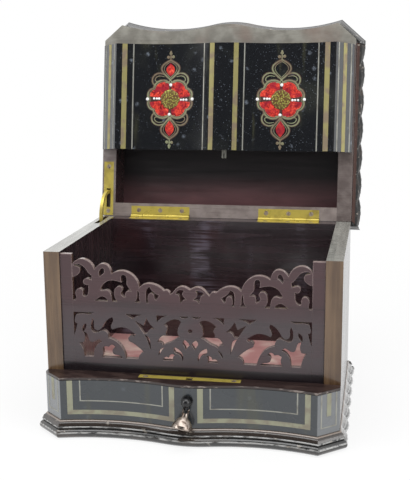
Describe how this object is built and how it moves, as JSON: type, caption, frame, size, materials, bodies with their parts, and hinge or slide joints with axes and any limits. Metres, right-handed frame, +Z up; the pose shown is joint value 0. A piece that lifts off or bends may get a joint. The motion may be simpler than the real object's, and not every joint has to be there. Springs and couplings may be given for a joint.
{
  "type": "letter box with hinged lid and folding front flap",
  "caption": "Bow-fronted letter box with a hinged lid, a front flap folding under the lid, a fretted gallery and a shallow drawer in its moulded base.",
  "frame": {"origin": "middle of the base board's underside, on the surface the box stands on", "axes": "+Z up, +Y towards the hinged back, +X to the right seen from the front; the lid is modelled open and the flap folded"},
  "size_m": [0.278, 0.2913, 0.3616],
  "materials": {
    "brass": "polished, slightly worn",
    "screw_steel": "worn slotted heads",
    "inlaid_black": "black polished veneer with brass line inlay",
    "black_moulding": "black polished moulding, worn on its edges",
    "carcase": "polished dark outside and inside, bare worn edges",
    "fret_wood": "polished plum-brown, sawn edges lighter",
    "pink_paper": "faded pink paper lining",
    "nickel": "worn white metal",
    "black_knob": "black gloss",
    "lid_wood": "grey-brown worn rims, dark polished inside",
    "inner_wood": "plain dark wood"
  },
  "bodies": {
    "case": {"base_board": "inner_wood", "plinth_core": "black_moulding", "plinth_moulding_front": "black_moulding", "plinth_moulding_left": "black_moulding", "plinth_moulding_right": "black_moulding", "plinth_moulding_back": "black_moulding", "drawer_runners": "inner_wood", "side_wall_left": "carcase", "side_wall_right": "carcase", "back_wall": "carcase", "ledge": "inner_wood", "floor_board": "inner_wood", "floor_lining": "pink_paper", "fret_panel": "fret_wood", "fret_post_left": "fret_wood", "fret_post_right": "fret_wood", "strike_plate": "brass", "strike_plate_screws": "screw_steel", "case_hinge_leaves": "brass", "case_hinge_screws": "screw_steel", "hinge_pins": "brass"},
    "lid": {"lid_board": "lid_wood", "lid_hinge_leaves": "brass", "lid_hinge_screws": "screw_steel", "lid_moulding_back": "black_moulding", "lid_moulding_front": "black_moulding", "lid_moulding_left": "black_moulding", "lid_moulding_right": "black_moulding", "lid_rim_back": "lid_wood", "lid_rim_front": "lid_wood", "lid_rim_left": "lid_wood", "lid_rim_right": "lid_wood", "stay_plate": "brass", "stay_plate_screws": "screw_steel", "stay_pivot_pin": "brass", "flap_hinge_pins": "brass", "flap_hinge_lid_leaves": "brass", "flap_hinge_lid_screws": "screw_steel"},
    "flap": {"flap_panel": "inlaid_black", "flap_peg": "brass", "flap_hinge_leaves": "brass", "flap_hinge_screws": "screw_steel"},
    "stay": {"stay_arm": "brass"},
    "drawer": {"drawer_back": "inner_wood", "drawer_bottom": "inner_wood", "drawer_front": "inlaid_black", "drawer_lining": "pink_paper", "drawer_side_left": "inner_wood", "drawer_side_right": "inner_wood", "pull_rose": "black_knob", "pull_post": "black_knob"},
    "drop": {"pull_drop": "nickel"}
  },
  "joints": [
    {"name": "lid_hinge", "type": "hinge", "parent": "case", "child": "lid", "pos_m": [0, 0.0885, 0.1617], "axis": [1, 0, 0], "range_deg": [0, 84.2]},
    {"name": "flap_fold", "type": "hinge", "parent": "lid", "child": "flap", "pos_m": [0, 0.11892, 0.33607], "axis": [-1, 0, 0], "range_deg": [0, 90]},
    {"name": "stay_pivot", "type": "hinge", "parent": "lid", "child": "stay", "pos_m": [-0.1232, 0.09561, 0.18584], "axis": [-1, 0, 0], "range_deg": [0, 28]},
    {"name": "drawer_slide", "type": "slide", "parent": "case", "child": "drawer", "axis": [0, -1, 0], "range_m": [0, 0.11]},
    {"name": "drop_swing", "type": "hinge", "parent": "drawer", "child": "drop", "pos_m": [0.0014, -0.1151, 0.0334], "axis": [-0.9816, 0, 0.1908], "range_deg": [0, 50]}
  ],
  "couplings": [
    {"joint": "stay_pivot", "follows": "lid_hinge", "ratio": 0.33254}
  ]
}
